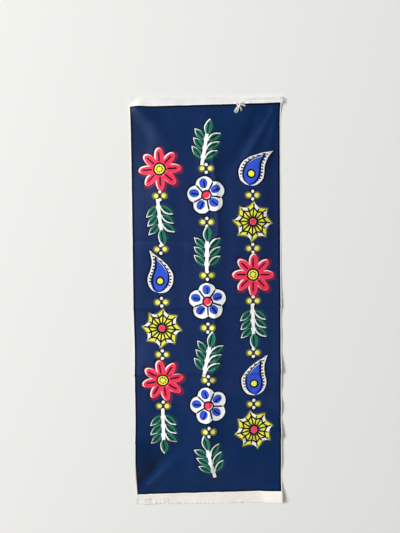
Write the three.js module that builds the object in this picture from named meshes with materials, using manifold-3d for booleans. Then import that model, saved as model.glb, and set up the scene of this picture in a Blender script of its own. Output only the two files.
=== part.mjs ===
// A printed cotton panel that hangs flat from its top edge, with its storage creases still in it.
// Millimetres, +Z up, +X to the right seen from the front, and the print faces -Y.
// The origin is the middle of the top edge. A place on the cloth is given as "across" from its
// middle and "down" from its top edge, and "lift" is how far it stands out to the front.

import * as THREE from 'three';
import { mergeVertices } from 'three/addons/utils/BufferGeometryUtils.js';
import Module from 'manifold-3d';

// Driving dimensions
const WIDTH = 365;
const LENGTH = 1005; // from the top edge to the tip of the longest frayed thread
const THICKNESS = 1;
const GAP = 0.3; // between separate pieces

// The frayed lower end: a narrow strip of loosened weave and the threads that hang from it
const FRAY_STRIP = 3;
const FRAY_LONGEST = 11;
const CLOTH_LENGTH = LENGTH - FRAY_LONGEST - FRAY_STRIP - GAP;
const STRANDS = 112;
const STRAND_RADIUS = 0.45;
const STRAND_TIP_RADIUS = 0.2;
const STRAND_ROOT = 1.6; // how far a strand reaches up into the strip
const STRAND_SWAY = 1.6; // most that a tip swings to one side
const STRAND_CURL = 2.2; // most that a tip comes forward
const STRAND_EVENNESS = 0.72; // the shortest strand as a share of the longest beside it
const STRAND_WAVES = { quick: 0.37, slow: 0.11 }; // neighbours swing together, in waves along the edge

// The grid of the cloth: rows gather at the creases, columns at the centre crease and the sides
const ROWS_PER_BAY = 11;
const COLUMNS_PER_HALF = 13;
const GATHER = 0.65;

// The cloth stands this far off the wall at each side where nothing else lifts it, and its lower end
// sinks back to the wall, which stops it a little behind its top edge
const HANG = { left: 7, right: 1.2, settles: 110 };
const HANG_RETURNS = { starts: 895, ends: 997, sinks: 1.8 };
const WALL_GIVES = 1;

// Storage creases across the cloth: the height of the crest in each half (below zero: a valley), and
// how far the crest runs out above and below its line
const CREASE_TURN = 25; // a crease changes height within this distance of the centre crease
const CREASES = [
  { down: 176, left: -0.8, right: -1.0, above: 15, below: 15 },
  { down: 347, left: -1.8, right: -0.8, above: 12, below: 10 },
  { down: 508, left: 3.2, right: 1.8, above: 26, below: 4 },
  { down: 671, left: 4.8, right: 3.6, above: 28, below: 4 },
  { down: 836, left: 4.6, right: 4.0, above: 20, below: 4 },
];

// The one lengthwise storage crease: a ridge on a broad tent that slopes to both side edges. It dies
// out towards both ends, and steps aside where the cross creases meet it.
const CENTRE_CREASE = { across: 7, lift: 5.2, flank: 17, tent: 6.5, rounding: 20 };
const CENTRE_SPAN = { starts: 15, ends: 965, fades: 80 };
const CENTRE_PATH = [
  { down: 0, across: 8 },
  { down: 150, across: 16 },
  { down: 200, across: 22 },
  { down: 330, across: 28 },
  { down: 366, across: 4 },
  { down: 495, across: 1 },
  { down: 527, across: 17 },
  { down: 656, across: 18 },
  { down: 688, across: 2 },
  { down: 830, across: 0 },
  { down: 870, across: 5 },
  { down: 1000, across: 5 },
];

// Folds pulled out of the corners, each a soft ridge (below zero: a trough) from one place to another
// that widens on its way and rises over the first share of its length
const PULL_WIDENS = { from: 0.75, to: 1.25 };
const PULL_STARTS = 0.14;
const PULL_FOLDS = [
  { fromAcross: -178, fromDown: 10, toAcross: -66, toDown: 130, lift: 7.0, halfWidth: 20 },
  { fromAcross: 158, fromDown: 12, toAcross: 46, toDown: 196, lift: -7.0, halfWidth: 18 },
  { fromAcross: 174, fromDown: 16, toAcross: 58, toDown: 210, lift: 3.4, halfWidth: 10 },
  { fromAcross: 178, fromDown: 24, toAcross: 128, toDown: 235, lift: 2.6, halfWidth: 10 },
  { fromAcross: -182, fromDown: 957, toAcross: -54, toDown: 827, lift: -8.5, halfWidth: 19 },
  { fromAcross: -160, fromDown: 963, toAcross: -78, toDown: 895, lift: 2.4, halfWidth: 8 },
  { fromAcross: -160, fromDown: 980, toAcross: -80, toDown: 926, lift: -2.4, halfWidth: 8 },
];

// Stretches where a side edge stands off the wall, or below zero curls back to it
const EDGE_LIFTS = [
  { side: -1, down: 160, halfLength: 125, lift: -7.0, reach: 42 },
  { side: -1, down: 340, halfLength: 90, lift: -2.0, reach: 26 },
  { side: -1, down: 605, halfLength: 58, lift: -8.0, reach: 30 },
  { side: -1, down: 880, halfLength: 62, lift: 16.0, reach: 35 },
  { side: 1, down: 110, halfLength: 190, lift: -6.0, reach: 40 },
  { side: 1, down: 290, halfLength: 70, lift: -4.2, reach: 30 },
  { side: 1, down: 420, halfLength: 62, lift: -2.4, reach: 28 },
  { side: 1, down: 545, halfLength: 34, lift: -2.4, reach: 26 },
  { side: 1, down: 617, halfLength: 26, lift: -2.6, reach: 26 },
  { side: 1, down: 728, halfLength: 15, lift: -2.6, reach: 24 },
  { side: 1, down: 760, halfLength: 14, lift: 1.0, reach: 24 },
  { side: 1, down: 791, halfLength: 14, lift: -2.6, reach: 24 },
  { side: 1, down: 858, halfLength: 20, lift: -0.4, reach: 24 },
  { side: 1, down: 935, halfLength: 18, lift: -3.5, reach: 26 },
  { side: 1, down: 1000, halfLength: 34, lift: 9.5, reach: 40 },
];

// A top corner that curls off the wall
const CORNER_CURLS = [
  { side: 1, down: 0, halfLength: 28, lift: 3.4, reach: 80 },
];

// Broad bulges and hollows of the bays between the creases
const BULGES = [
  { across: 126, down: 215, halfWidth: 42, halfHeight: 120, lift: 4.5 },
  { across: -100, down: 215, halfWidth: 66, halfHeight: 95, lift: 3.6 },
  { across: 96, down: 300, halfWidth: 74, halfHeight: 70, lift: 2.0 },
  { across: -84, down: 432, halfWidth: 70, halfHeight: 58, lift: -1.3 },
  { across: 88, down: 448, halfWidth: 78, halfHeight: 60, lift: 1.6 },
  { across: -96, down: 598, halfWidth: 76, halfHeight: 60, lift: 1.5 },
  { across: 92, down: 600, halfWidth: 72, halfHeight: 56, lift: -1.5 },
  { across: -90, down: 762, halfWidth: 74, halfHeight: 58, lift: -2.2 },
  { across: 70, down: 910, halfWidth: 80, halfHeight: 60, lift: 2.0 },
];

// The held top corners are drawn out a little past the straight sides
const CORNER_FLARE = { left: 2.5, right: 2.0, down: 30 };

// How far the frayed threads hang below the strip, across the width
const FRAY_PROFILE = [
  { across: -183, reach: 8.5 },
  { across: -150, reach: 11 },
  { across: -118, reach: 10 },
  { across: -110, reach: 4.5 },
  { across: -100, reach: 10 },
  { across: -40, reach: 8 },
  { across: 40, reach: 5.5 },
  { across: 183, reach: 5 },
];

// A tuft of loose threads caught on the top edge: its knot and where each thread ends
const TUFT_KNOT = { across: 80, down: 22, halfWidth: 4, halfDepth: 1, halfHeight: 2.6 };
const TUFT_THREAD_RADIUS = 0.7;
const TUFT_CLEAR = 1.3; // from the cloth to the middle of a thread
const TUFT_STEPS = 5;
const TUFT_THREADS = [
  { toAcross: 96, toDown: 30, bowAcross: 90, bowDown: 22 },
  { toAcross: 88, toDown: 34, bowAcross: 85, bowDown: 27 },
  { toAcross: 80, toDown: 41, bowAcross: 82, bowDown: 32 },
  { toAcross: 71, toDown: 43, bowAcross: 73, bowDown: 32 },
  { toAcross: 72, toDown: 28, bowAcross: 75, bowDown: 22 },
  { toAcross: 98, toDown: 9, bowAcross: 88, bowDown: 10 },
];

const PRINTED_COTTON = { color: 0x17305f, roughness: 0.9, metalness: 0 };
const RAW_COTTON = { color: 0xe9e6da, roughness: 0.95, metalness: 0 };

const wasm = await Module();
wasm.setup();

const bell = (offset, half) => Math.exp(-((offset / half) ** 2));
const crest = (offset, flank) => Math.exp(-Math.abs(offset) / flank);
const step = THREE.MathUtils.smoothstep;

// A repeatable number from 0 to 1 for each whole number
const chance = (index) => THREE.MathUtils.euclideanModulo(Math.sin(index * 12.9898) * 43758.5453, 1);

// A table's column at a place along it, on straight lines between its rows
function readTable(rows, key, place, column) {
  const next = Math.max(rows.findIndex((row) => row[key] >= place), 1);
  const before = rows[next - 1];
  const after = rows[next];
  return THREE.MathUtils.mapLinear(place, before[key], after[key], before[column], after[column]);
}

function centreLift(aside, down) {
  const { lift, flank, tent, rounding } = CENTRE_CREASE;
  const { starts, ends, fades } = CENTRE_SPAN;
  const present = step(down, starts, starts + fades) * (1 - step(down, ends - fades, ends));
  const broad = tent * (1 - Math.hypot(aside, rounding) / (WIDTH / 2));
  return present * (lift * crest(aside, flank) + broad);
}

function creaseLift(across, down) {
  const aside = across - readTable(CENTRE_PATH, 'down', down, 'across');
  const rightShare = step(aside, -CREASE_TURN, CREASE_TURN);
  let lift = centreLift(aside, down);
  for (const crease of CREASES) {
    const height = THREE.MathUtils.lerp(crease.left, crease.right, rightShare);
    const offset = down - crease.down;
    lift += height * crest(offset, offset < 0 ? crease.above : crease.below);
  }
  return lift;
}

// A ridge is highest a quarter of the way along, and dies out at both of its ends
function pullLift(across, down) {
  let lift = 0;
  for (const fold of PULL_FOLDS) {
    const runAcross = fold.toAcross - fold.fromAcross;
    const runDown = fold.toDown - fold.fromDown;
    const run = Math.hypot(runAcross, runDown);
    const relAcross = across - fold.fromAcross;
    const relDown = down - fold.fromDown;
    const along = (relAcross * runAcross + relDown * runDown) / (run * run);
    const aside = (relAcross * runDown - relDown * runAcross) / run;
    const share = THREE.MathUtils.clamp(along, 0, 1);
    const swell = Math.sin(Math.PI * Math.sqrt(share)) * step(share, 0, PULL_STARTS);
    const half = fold.halfWidth * THREE.MathUtils.lerp(PULL_WIDENS.from, PULL_WIDENS.to, share);
    lift += fold.lift * swell * bell(aside, half);
  }
  return lift;
}

function edgeLift(across, down, stretches) {
  let lift = 0;
  for (const stretch of stretches) {
    const inward = WIDTH / 2 - stretch.side * across;
    lift += stretch.lift * bell(down - stretch.down, stretch.halfLength) * bell(inward, stretch.reach);
  }
  return lift;
}

function bulgeLift(across, down) {
  let lift = 0;
  for (const bulge of BULGES) {
    const sideways = bell(across - bulge.across, bulge.halfWidth);
    const lengthways = bell(down - bulge.down, bulge.halfHeight);
    lift += bulge.lift * sideways * lengthways;
  }
  return lift;
}

// Flattens softly what would reach behind the wall, and leaves the top edge where it is
function stoppedByWall(lift) {
  return WALL_GIVES * (Math.log1p(Math.exp(lift / WALL_GIVES + 1)) - Math.log1p(Math.E));
}

function hangLift(across, down) {
  const side = THREE.MathUtils.lerp(HANG.left, HANG.right, across / WIDTH + 0.5);
  const settled = side * (1 - Math.exp(-Math.max(down, 0) / HANG.settles));
  const returned = step(down, HANG_RETURNS.starts, HANG_RETURNS.ends);
  return THREE.MathUtils.lerp(settled, -HANG_RETURNS.sinks, returned);
}

function liftAt(across, down) {
  const free = 1 - bell(down, HANG.settles / 2); // 0 along the held top edge
  const held = hangLift(across, down) + pullLift(across, down) + edgeLift(across, down, CORNER_CURLS);
  const loose = edgeLift(across, down, EDGE_LIFTS) + creaseLift(across, down) + bulgeLift(across, down);
  return stoppedByWall(held + free * loose);
}

// The middle of the cloth's thickness
function clothPoint(across, down) {
  const share = (2 * across) / WIDTH;
  const flare = share > 0 ? CORNER_FLARE.right : CORNER_FLARE.left;
  const aside = flare * share ** 3 * bell(down, CORNER_FLARE.down);
  return new THREE.Vector3(across + aside, -liftAt(across, down), -down);
}

// A point that lies "out" to the front of the middle of the cloth
function offCloth(across, down, out) {
  const reach = 0.5;
  const alongWidth = clothPoint(across + reach, down).sub(clothPoint(across - reach, down));
  const alongDrop = clothPoint(across, down + reach).sub(clothPoint(across, down - reach));
  const toFront = alongDrop.cross(alongWidth).normalize();
  return clothPoint(across, down).addScaledVector(toFront, out);
}

// Spreads an even share from 0 to 1 over bays between stops, crowded towards every stop
function spread(share, stops) {
  const bays = stops.length - 1;
  const bay = Math.min(Math.floor(share * bays + 1e-6), bays - 1);
  const part = share * bays - bay;
  const eased = part - (GATHER * Math.sin(2 * Math.PI * part)) / (2 * Math.PI);
  return THREE.MathUtils.lerp(stops[bay], stops[bay + 1], eased);
}

// Bends a slab of boxes onto the cloth between two heights
function sheetGeometry(downStops, rows) {
  const acrossStops = [-WIDTH / 2, CENTRE_CREASE.across, WIDTH / 2];
  const geometry = new THREE.BoxGeometry(1, 1, 1, 2 * COLUMNS_PER_HALF, 1, rows);
  const points = geometry.attributes.position;
  for (let i = 0; i < points.count; i += 1) {
    const across = spread(points.getX(i) + 0.5, acrossStops);
    const down = spread(0.5 - points.getZ(i), downStops);
    const place = offCloth(across, down, -points.getY(i) * THICKNESS);
    points.setXYZ(i, place.x, place.y, place.z);
  }
  return geometry;
}

// One frayed lock: a three-sided taper whose root sits in the strip and whose tip swings and curls
function strandGeometry(index, stripEnd) {
  const pitch = WIDTH / STRANDS;
  const across = -WIDTH / 2 + (index + 0.5) * pitch;
  const reach = readTable(FRAY_PROFILE, 'across', across, 'reach');
  const hang = reach * THREE.MathUtils.lerp(STRAND_EVENNESS, 1, chance(index));
  const sway = STRAND_SWAY * Math.sin(index * STRAND_WAVES.quick) * Math.cos(index * STRAND_WAVES.slow);
  const curl = STRAND_CURL * chance(index + STRANDS) * (hang / FRAY_LONGEST);
  const length = hang + STRAND_ROOT;
  const geometry = new THREE.CylinderGeometry(STRAND_RADIUS, STRAND_TIP_RADIUS, length, 3, 2);
  geometry.rotateX(Math.PI / 2);
  const points = geometry.attributes.position;
  const root = clothPoint(across, stripEnd - STRAND_ROOT);
  for (let i = 0; i < points.count; i += 1) {
    const share = 0.5 - points.getZ(i) / length;
    const bent = share * share;
    points.setXYZ(
      i,
      root.x + points.getX(i) + sway * bent,
      root.y + points.getY(i) - curl * bent,
      root.z - share * length,
    );
  }
  return geometry;
}

// One loose thread, bowed from the knot to its own end along the front of the cloth
function tuftThreadGeometry(thread) {
  const path = new THREE.QuadraticBezierCurve3(
    offCloth(TUFT_KNOT.across, TUFT_KNOT.down, THICKNESS / 2 + TUFT_CLEAR),
    offCloth(thread.bowAcross, thread.bowDown, THICKNESS / 2 + 2 * TUFT_CLEAR),
    offCloth(thread.toAcross, thread.toDown, THICKNESS / 2 + TUFT_CLEAR),
  );
  const corners = [0, 1, 2].map((corner) => {
    const turn = (corner * 2 * Math.PI) / 3;
    return new THREE.Vector2(TUFT_THREAD_RADIUS * Math.cos(turn), TUFT_THREAD_RADIUS * Math.sin(turn));
  });
  return new THREE.ExtrudeGeometry(new THREE.Shape(corners), { steps: TUFT_STEPS, extrudePath: path });
}

function tuftKnotGeometry() {
  const { across, down, halfWidth, halfDepth, halfHeight } = TUFT_KNOT;
  const middle = offCloth(across, down, THICKNESS / 2 + GAP + halfDepth);
  return new THREE.SphereGeometry(1, 9, 6)
    .scale(halfWidth, halfDepth, halfHeight)
    .translate(middle.x, middle.y, middle.z);
}

function solidOf(geometry) {
  const bare = geometry.clone();
  bare.deleteAttribute('normal');
  bare.deleteAttribute('uv');
  const merged = mergeVertices(bare, 1e-4);
  return new wasm.Manifold(new wasm.Mesh({
    numProp: 3,
    vertProperties: new Float32Array(merged.attributes.position.array),
    triVerts: new Uint32Array(merged.index.array),
  }));
}

function fused(geometries) {
  const whole = geometries.map(solidOf).reduce((joined, piece) => joined.add(piece));
  const { vertProperties, triVerts } = whole.getMesh();
  const geometry = new THREE.BufferGeometry();
  geometry.setAttribute('position', new THREE.BufferAttribute(vertProperties, 3));
  geometry.setIndex(new THREE.BufferAttribute(triVerts, 1));
  geometry.computeVertexNormals();
  return geometry;
}

function namedMesh(name, geometry, finish) {
  const mesh = new THREE.Mesh(geometry, new THREE.MeshStandardMaterial(finish));
  mesh.name = name;
  return mesh;
}

function makePanel() {
  const stops = [0, ...CREASES.map((crease) => crease.down), CLOTH_LENGTH];
  const rows = ROWS_PER_BAY * (stops.length - 1);
  return namedMesh('panel', sheetGeometry(stops, rows), PRINTED_COTTON);
}

function makeBottomFray() {
  const stripStart = CLOTH_LENGTH + GAP;
  const stripEnd = stripStart + FRAY_STRIP;
  const pieces = [sheetGeometry([stripStart, stripEnd], 1)];
  for (let index = 0; index < STRANDS; index += 1) {
    pieces.push(strandGeometry(index, stripEnd));
  }
  return namedMesh('bottom_fray', fused(pieces), RAW_COTTON);
}

function makeThreadTuft() {
  const pieces = [tuftKnotGeometry(), ...TUFT_THREADS.map(tuftThreadGeometry)];
  return namedMesh('thread_tuft', fused(pieces), RAW_COTTON);
}

const hanging = new THREE.Group();
hanging.name = 'printed_fabric_panel';
hanging.add(makePanel(), makeBottomFray(), makeThreadTuft());

export default hanging;
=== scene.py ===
"""The looks of a printed cotton panel that hangs against a wall from its top edge.

A place on the cloth is "across" from its middle and "down" from its top edge, in millimetres, and
"lift" is how far it stands out to the front, as in the solids. Blender's own units are metres.
"""

import math
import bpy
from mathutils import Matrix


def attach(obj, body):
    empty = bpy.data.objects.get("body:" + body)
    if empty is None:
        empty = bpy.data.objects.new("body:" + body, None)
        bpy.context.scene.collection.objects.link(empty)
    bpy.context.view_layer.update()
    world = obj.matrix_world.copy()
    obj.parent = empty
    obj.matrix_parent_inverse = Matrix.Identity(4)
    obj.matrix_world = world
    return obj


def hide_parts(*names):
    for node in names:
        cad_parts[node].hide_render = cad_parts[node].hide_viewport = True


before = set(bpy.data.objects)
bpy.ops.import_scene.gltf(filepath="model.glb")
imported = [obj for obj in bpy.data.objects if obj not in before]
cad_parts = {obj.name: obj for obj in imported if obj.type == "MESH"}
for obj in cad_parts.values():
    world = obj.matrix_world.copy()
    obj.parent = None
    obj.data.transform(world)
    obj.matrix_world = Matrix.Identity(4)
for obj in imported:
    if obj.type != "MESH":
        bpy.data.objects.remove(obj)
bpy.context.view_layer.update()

from types import SimpleNamespace as Sizes

import bpy
import numpy as np
from mathutils import Vector


def table(columns, *rows):
    """Rows of sizes under named columns."""
    names = columns.split()
    return [Sizes(**dict(zip(names, row))) for row in rows]


# Driving sizes of the cloth, in millimetres
MM = 0.001
TAU = 2 * math.pi
WIDTH = 365.0
CLOTH_END = 1004.0  # where the weave stops on the right, and the frayed yarns begin
THICKNESS = 0.5
ROWS_PER_BAY = 66
COLUMNS_PER_HALF = 58
GATHER = 0.5  # how strongly rows and columns crowd towards creases and sides
SLOPE_REACH = 0.4  # the cloth's slope is measured this far to both sides
SHARP_ANGLE = 50.0  # degrees between two faces, past which their edge stays sharp
SEED = 7

# The cloth's hang and folds, the same as in the solids
HANG = Sizes(left=7.0, right=1.2, settles=110)
HANG_RETURNS = (895, 997)  # over this stretch the lower end goes back to the wall
END_SINKS = 1.8  # and sinks this far behind the top edge, until the wall stops it
WALL_GIVES = 1.0  # the wall stops the cloth softly, 1.3 times this far behind the top edge
CREASE_TURN = 25.0  # a cross crease changes height this far to both sides of the centre crease
CREASES = table(  # crest heights in each half, and how far a crest runs out above and below its line
    "down left right above below",
    (176, -0.8, -1.0, 15, 15),
    (347, -1.8, -0.8, 12, 10),
    (508, 3.2, 1.8, 26, 4),
    (671, 4.8, 3.6, 28, 4),
    (836, 4.6, 4.0, 20, 4),
)
CENTRE_CREASE = Sizes(lift=5.2, flank=17, tent=6.5, tent_rounding=20)
CENTRE_SPAN = Sizes(starts=15, ends=965, fades=80)
CENTRE_PATH = Sizes(  # the centre crease steps aside where the cross creases meet it
    down=(0, 150, 200, 330, 366, 495, 527, 656, 688, 830, 870, 1000),
    across=(8, 16, 22, 28, 4, 1, 17, 18, 2, 0, 5, 5),
)
CENTRE_ACROSS = 7.0  # its middle line
PULL_WIDENS = (0.75, 1.25)  # shares of a pulled fold's width at its start and its end
PULL_STARTS = 0.14  # the share of its length over which a pulled fold rises
PULL_FOLDS = table(
    "start end lift half_width",
    ((-178, 10), (-66, 130), 7.0, 20),
    ((158, 12), (46, 196), -7.0, 18),
    ((174, 16), (58, 210), 3.4, 10),
    ((178, 24), (128, 235), 2.6, 10),
    ((-182, 957), (-54, 827), -8.5, 19),
    ((-160, 963), (-78, 895), 2.4, 8),
    ((-160, 980), (-80, 926), -2.4, 8),
)
EDGE_LIFTS = table(
    "side down half_length lift reach",
    (-1, 160, 125, -7.0, 42),
    (-1, 340, 90, -2.0, 26),
    (-1, 605, 58, -8.0, 30),
    (-1, 880, 62, 16.0, 35),
    (1, 110, 190, -6.0, 40),
    (1, 290, 70, -4.2, 30),
    (1, 420, 62, -2.4, 28),
    (1, 545, 34, -2.4, 26),
    (1, 617, 26, -2.6, 26),
    (1, 728, 15, -2.6, 24),
    (1, 760, 14, 1.0, 24),
    (1, 791, 14, -2.6, 24),
    (1, 858, 20, -0.4, 24),
    (1, 935, 18, -3.5, 26),
    (1, 1000, 34, 9.5, 40),
)
BULGES = table(
    "across down half_width half_height lift",
    (126, 215, 42, 120, 4.5),
    (-100, 215, 66, 95, 3.6),
    (96, 300, 74, 70, 2.0),
    (-84, 432, 70, 58, -1.3),
    (88, 448, 78, 60, 1.6),
    (-96, 598, 76, 60, 1.5),
    (92, 600, 72, 56, -1.5),
    (-90, 762, 74, 58, -2.2),
    (70, 910, 80, 60, 2.0),
)
CORNER_CURLS = table(
    "side down half_length lift reach",
    (1, 0, 28, 3.4, 80),
)
CORNER_FLARE = Sizes(left=2.5, right=2.0, down=30)  # the held corners are drawn out past the sides

# Finer creasing than the solids carry
CENTRE_PINCH = 0.12  # share of the centre crease's height that is in its sharp line
PINCH_FLANK = 3.0
CREST_ROUNDING = 1.2
CREASE_WAVER = Sizes(size=1.4, step=47.0, phase=1.9)  # how the cross creases stray from straight
SMALL_WRINKLES = table(
    "start end lift half_width",
    ((-172, 60), (-140, 150), 0.3, 5),
    ((-160, 22), (-96, 70), 0.8, 6),
    ((160, 34), (96, 100), 1.0, 5),
    ((172, 70), (150, 190), 0.8, 5),
    ((120, 8), (30, 50), 0.7, 6),
    ((92, 8), (196, 7), -1.2, 2),
    ((-128, 978), (-96, 940), 0.9, 5),
    ((60, 980), (120, 900), 0.7, 7),
    ((150, 700), (90, 735), 0.6, 7),
    ((-150, 505), (-90, 470), 0.5, 7),
    ((30, 520), (96, 560), 0.5, 7),
)
RIPPLES = table(  # faint upright waves: their length across, how far they lean, height and phase
    "length lean lift phase",
    (92, 0.0004, 0.45, 0.3),
    (57, -0.0006, 0.25, 2.1),
    (38, 0.001, 0.1, 1.0),
)
RIPPLE_STRAY = Sizes(turn=1.3, step=140.0)  # and how they swing aside on their way down

# The frayed lower end: where the weave stops, and how far down its loose yarns hang
WEAVE_END = Sizes(
    across=(-183, -152, -120, -104, -70, 0, 183),
    down=(988, 989, 989, 991, 1002, 1003.5, CLOTH_END),
)
FRAY_END = Sizes(
    across=(-183, -150, -113, -107, -98, -40, 183),
    down=(1005, 1006, 1005, 999, 1006, 1006, 1006),
)
RAW_WAVES = table(  # the waves in which a cut edge strays, as shares of its own size, step and phase
    "size step phase",
    (1.0, 1.0, 1.0),
    (0.6, 0.37, 2.1),
    (0.5, 0.13, 1.0),
)
RAW_END = Sizes(size=0.5, step=23.0, phase=1.0, over=14.0)
RAW_TOP = Sizes(size=0.25, step=19.0, phase=3.0, over=8.0)


def bell(offset, half):
    return np.exp(-((offset / half) ** 2))


def smooth_step(value, low, high):
    share = np.clip((value - low) / (high - low), 0.0, 1.0)
    return share * share * (3.0 - 2.0 * share)


def crest(offset, flank):
    """A fold's profile: straight-sided, with a rounded top."""
    rounded = np.sqrt(offset**2 + CREST_ROUNDING**2) - CREST_ROUNDING
    return np.exp(-rounded / flank)


def leaning_crest(offset, above, below):
    """A crest that runs out further above its line than below it."""
    return crest(offset, np.where(offset < 0.0, above, below))


def crease_profile(offset, flank, pinch):
    return (1.0 - pinch) * crest(offset, flank) + pinch * crest(offset, PINCH_FLANK)


def centre_lift(aside, down):
    """The lengthwise crease: a sharp ridge on a broad tent that slopes to both side edges."""
    rises = smooth_step(down, CENTRE_SPAN.starts, CENTRE_SPAN.starts + CENTRE_SPAN.fades)
    falls = smooth_step(down, CENTRE_SPAN.ends - CENTRE_SPAN.fades, CENTRE_SPAN.ends)
    present = rises * (1 - falls)
    ridge = CENTRE_CREASE.lift * crease_profile(aside, CENTRE_CREASE.flank, CENTRE_PINCH)
    rounded = np.sqrt(aside**2 + CENTRE_CREASE.tent_rounding ** 2)
    tent = CENTRE_CREASE.tent * (1.0 - rounded / (WIDTH / 2))
    return present * (ridge + tent)


def crease_lift(across, down):
    aside = across - np.interp(down, CENTRE_PATH.down, CENTRE_PATH.across)
    right_share = smooth_step(aside, -CREASE_TURN, CREASE_TURN)
    lift = centre_lift(aside, down)
    for number, crease in enumerate(CREASES):
        height = crease.left + (crease.right - crease.left) * right_share
        turn = across / CREASE_WAVER.step + CREASE_WAVER.phase * number
        waver = CREASE_WAVER.size * np.sin(turn)
        lift += height * leaning_crest(down - crease.down - waver, crease.above, crease.below)
    return lift


def ridge_lift(across, down, ridges):
    """Soft ridges and troughs, each deepest a quarter of the way along and dying out at both ends."""
    lift = np.zeros_like(across)
    for ridge in ridges:
        run = np.subtract(ridge.end, ridge.start).astype(float)
        length = math.hypot(*run)
        out_across = across - ridge.start[0]
        out_down = down - ridge.start[1]
        along = np.clip((out_across * run[0] + out_down * run[1]) / length**2, 0.0, 1.0)
        aside = (out_across * run[1] - out_down * run[0]) / length
        half = ridge.half_width * (PULL_WIDENS[0] + (PULL_WIDENS[1] - PULL_WIDENS[0]) * along)
        swell = np.sin(math.pi * np.sqrt(along)) * smooth_step(along, 0.0, PULL_STARTS)
        lift += ridge.lift * swell * bell(aside, half)
    return lift


def edge_lift(across, down, stretches):
    lift = np.zeros_like(across)
    for stretch in stretches:
        inward = WIDTH / 2 - stretch.side * across
        along = bell(down - stretch.down, stretch.half_length)
        lift += stretch.lift * along * bell(inward, stretch.reach)
    return lift


def bulge_lift(across, down):
    lift = np.zeros_like(across)
    for bulge in BULGES:
        sideways = bell(across - bulge.across, bulge.half_width)
        lift += bulge.lift * sideways * bell(down - bulge.down, bulge.half_height)
    return lift


def ripple_lift(across, down):
    lift = np.zeros_like(across)
    for wave in RIPPLES:
        stray = RIPPLE_STRAY.turn * np.sin(down / RIPPLE_STRAY.step + wave.phase)
        turn = TAU * (across / wave.length + wave.lean * down)
        lift += wave.lift * np.sin(turn + wave.phase + stray)
    return lift


def stopped_by_wall(lift):
    """Flattens softly what would reach behind the wall, and leaves the top edge where it is."""
    level = math.log1p(math.e)
    return WALL_GIVES * (np.logaddexp(0.0, lift / WALL_GIVES + 1.0) - level)


def lift_at(across, down):
    across = np.asarray(across, float)
    down = np.asarray(down, float)
    free = 1.0 - bell(down, HANG.settles / 2)  # 0 along the held top edge
    hang = HANG.left + (HANG.right - HANG.left) * (across / WIDTH + 0.5)
    hang = hang * (1.0 - np.exp(-np.maximum(down, 0.0) / HANG.settles))
    hang = hang - (hang + END_SINKS) * smooth_step(down, *HANG_RETURNS)
    pulled = ridge_lift(across, down, PULL_FOLDS) + ridge_lift(across, down, SMALL_WRINKLES)
    pulled += edge_lift(across, down, CORNER_CURLS)
    settled = edge_lift(across, down, EDGE_LIFTS) + crease_lift(across, down)
    settled += bulge_lift(across, down) + ripple_lift(across, down)
    return stopped_by_wall(hang + pulled + free * settled)


def cloth_points(across, down):
    """Places in the middle of the cloth's thickness, in metres."""
    across = np.asarray(across, float)
    down = np.asarray(down, float)
    share = 2.0 * across / WIDTH
    flare = np.where(share > 0, CORNER_FLARE.right, CORNER_FLARE.left)
    aside = flare * share**3 * bell(down, CORNER_FLARE.down)
    return MM * np.stack([across + aside, -lift_at(across, down), -down], axis=-1)


def front_normals(across, down):
    along_width = cloth_points(across + SLOPE_REACH, down) - cloth_points(across - SLOPE_REACH, down)
    along_drop = cloth_points(across, down + SLOPE_REACH) - cloth_points(across, down - SLOPE_REACH)
    normal = np.cross(along_drop, along_width)
    return normal / np.linalg.norm(normal, axis=-1, keepdims=True)


def off_cloth(across, down, out):
    """Places that lie out in front of the middle of the cloth by so many millimetres."""
    out = np.asarray(out, float)
    return cloth_points(across, down) + MM * out[..., None] * front_normals(across, down)


# Meshes

def spread(stops, counts):
    """Stations from the first stop to the last, crowded towards every stop."""
    stations = [np.array([stops[0]])]
    for low, high, count in zip(stops, stops[1:], counts):
        part = np.arange(1, count + 1) / count
        eased = part - GATHER * np.sin(TAU * part) / TAU
        stations.append(low + (high - low) * eased)
    return np.concatenate(stations)


def new_object(name, verts, faces, materials):
    mesh = bpy.data.meshes.new(name)
    mesh.from_pydata(np.asarray(verts).tolist(), [], [list(face) for face in faces])
    mesh.update()
    for material in materials:
        mesh.materials.append(material)
    piece = bpy.data.objects.new(name, mesh)
    bpy.context.scene.collection.objects.link(piece)
    return piece


def raw_edge(across, edge):
    """How a cut edge strays from straight."""
    stray = 0.0
    for wave in RAW_WAVES:
        turn = across / (wave.step * edge.step) + wave.phase * edge.phase
        stray = stray + wave.size * np.sin(turn)
    return edge.size * stray


def sheet_grid():
    """Where the sheet's corners lie on the flat cloth. Its last rows follow the cut and frayed ends."""
    stops = [0.0] + [crease.down for crease in CREASES] + [CLOTH_END]
    downs = spread(stops, [ROWS_PER_BAY] * (len(stops) - 1))
    acrosses = spread([-WIDTH / 2, CENTRE_ACROSS, WIDTH / 2], [COLUMNS_PER_HALF] * 2)
    across, down = np.meshgrid(acrosses, downs)
    last_bay = smooth_step(down, stops[-2], CLOTH_END)
    down = down - last_bay * (CLOTH_END - np.interp(across, WEAVE_END.across, WEAVE_END.down))
    near_end = smooth_step(down, CLOTH_END - RAW_END.over, CLOTH_END)
    near_top = 1.0 - smooth_step(down, 0.0, RAW_TOP.over)
    down = down + near_end * raw_edge(across, RAW_END) + near_top * raw_edge(across, RAW_TOP)
    return across, down


def add_map(mesh, name, corners):
    layer = mesh.uv_layers.new(name=name)
    layer.data.foreach_set("uv", np.asarray(corners).ravel())


# The strips of the map and the place of the rim's strip, in shares of the map. A face of the rim fills
# the last share of its own place there.
BAKE = Sizes(margin=0.004, tall=0.992, wide=0.484, rim=(0.492, 0.508), face=0.8)


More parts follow.
